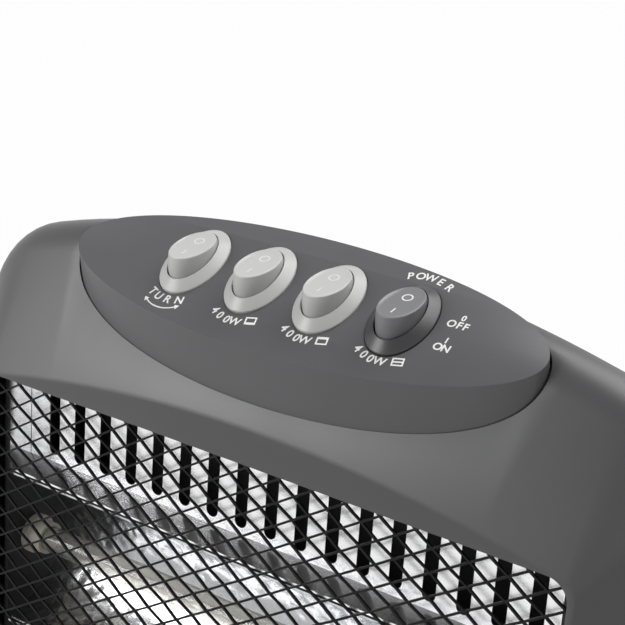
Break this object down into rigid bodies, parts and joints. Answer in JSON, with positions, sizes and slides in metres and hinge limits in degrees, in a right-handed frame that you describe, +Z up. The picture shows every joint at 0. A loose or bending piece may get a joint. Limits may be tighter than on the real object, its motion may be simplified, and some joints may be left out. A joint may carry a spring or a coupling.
{
  "type": "halogen heater",
  "caption": "Upright oscillating halogen heater: slim head with diamond mesh guard over reflector troughs, oval pod of rocker switches on top, swivel neck on a round base.",
  "frame": {"origin": "centre of the base on the floor, on the swing axis", "axes": "+X to the right seen from the front, +Y to the back, +Z up"},
  "size_m": [0.324, 0.24, 0.5288],
  "materials": {
    "housing_plastic": "satin moulded dark grey",
    "pod_plastic": "satin moulded dark grey",
    "cover_plastic": "fine textured light grey",
    "light_switch": "semi gloss light grey",
    "light_rocker": "semi gloss light grey",
    "dark_switch": "semi gloss dark grey",
    "dark_rocker": "semi gloss dark grey",
    "grille_paint": "heat resistant black paint",
    "polished_sheet": "bright polished",
    "hammered_sheet": "bright hammered",
    "quartz_glass": "clear to slightly frosted",
    "tungsten_wire": "drawn",
    "white_ceramic": "unglazed ceramic",
    "brass_tab": "stamped",
    "screw_steel": "zinc plated",
    "zinc_sheet": "zinc plated sheet",
    "bracket_paint": "black painted sheet",
    "cast_weight": "as cast",
    "foot_rubber": "matt black",
    "black_plastic": "moulded black",
    "white_nylon": "natural nylon"
  },
  "bodies": {
    "base": {"base_cover": "housing_plastic", "base_plate": "bracket_paint", "base_screws": "screw_steel", "rubber_feet": "foot_rubber", "base_weight": "cast_weight", "cable_gland": "black_plastic", "terminal_block": "white_nylon", "swivel_post": "zinc_sheet", "thrust_washer": "white_nylon", "post_nut": "screw_steel", "swing_gear": "white_nylon", "tip_switch_case": "black_plastic", "tip_spring": "screw_steel", "tip_microswitch": "black_plastic"},
    "head": {"control_pod": "pod_plastic", "switch_terminals": "brass_tab", "front_housing": "housing_plastic", "rear_cover": "cover_plastic", "shell_screws": "screw_steel", "grille": "grille_paint", "upper_vent_panel": "polished_sheet", "lower_reflector_panel": "polished_sheet", "tube_contacts": "brass_tab", "left_tube_bracket": "bracket_paint", "right_tube_bracket": "bracket_paint", "heat_shield": "zinc_sheet", "thermal_cutout": "black_plastic", "swivel_plate": "zinc_sheet", "motor_stand": "zinc_sheet", "swing_motor": "zinc_sheet", "turn_switch": "light_switch", "lower_tube_switch": "light_switch", "upper_tube_switch": "light_switch", "power_switch": "dark_switch", "upper_tube_reflector": "hammered_sheet", "upper_quartz_tube": "quartz_glass", "upper_filament": "tungsten_wire", "upper_end_caps": "white_ceramic", "middle_tube_reflector": "hammered_sheet", "middle_quartz_tube": "quartz_glass", "middle_filament": "tungsten_wire", "middle_end_caps": "white_ceramic", "lower_tube_reflector": "hammered_sheet", "lower_quartz_tube": "quartz_glass", "lower_filament": "tungsten_wire", "lower_end_caps": "white_ceramic"},
    "swing_pinion": {"swing_pinion": "white_nylon"},
    "tip_plunger": {"tip_plunger": "white_nylon"},
    "turn_rocker": {"turn_rocker": "light_rocker"},
    "lower_tube_rocker": {"lower_tube_rocker": "light_rocker"},
    "upper_tube_rocker": {"upper_tube_rocker": "light_rocker"},
    "power_rocker": {"power_rocker": "dark_rocker"}
  },
  "joints": [
    {"name": "head_swing", "type": "hinge", "parent": "base", "child": "head", "pos_m": [0, 0, 0.15], "axis": [0, 0, 1], "range_deg": [-35, 35]},
    {"name": "pinion_spin", "type": "hinge", "parent": "head", "child": "swing_pinion", "pos_m": [0, 0.03375, 0.171], "axis": [0, 0, 1], "range_deg": [-110, 110]},
    {"name": "turn_press", "type": "hinge", "parent": "head", "child": "turn_rocker", "pos_m": [-0.0465, -0.02442, 0.51568], "axis": [1, 0, 0], "range_deg": [0, 32]},
    {"name": "lower_tube_press", "type": "hinge", "parent": "head", "child": "lower_tube_rocker", "pos_m": [-0.0155, -0.02442, 0.51568], "axis": [1, 0, 0], "range_deg": [0, 32]},
    {"name": "upper_tube_press", "type": "hinge", "parent": "head", "child": "upper_tube_rocker", "pos_m": [0.0155, -0.02442, 0.51568], "axis": [1, 0, 0], "range_deg": [0, 32]},
    {"name": "power_press", "type": "hinge", "parent": "head", "child": "power_rocker", "pos_m": [0.0465, -0.02442, 0.51568], "axis": [1, 0, 0], "range_deg": [0, 32]},
    {"name": "tip_slide", "type": "slide", "parent": "base", "child": "tip_plunger", "axis": [0, 0, 1], "range_m": [-0.006, 0], "stiffness_N_per_m": 60, "springref_m": -0.01, "deforming": ["tip_spring"]}
  ],
  "couplings": [
    {"joint": "pinion_spin", "follows": "head_swing", "ratio": 3.0909}
  ]
}
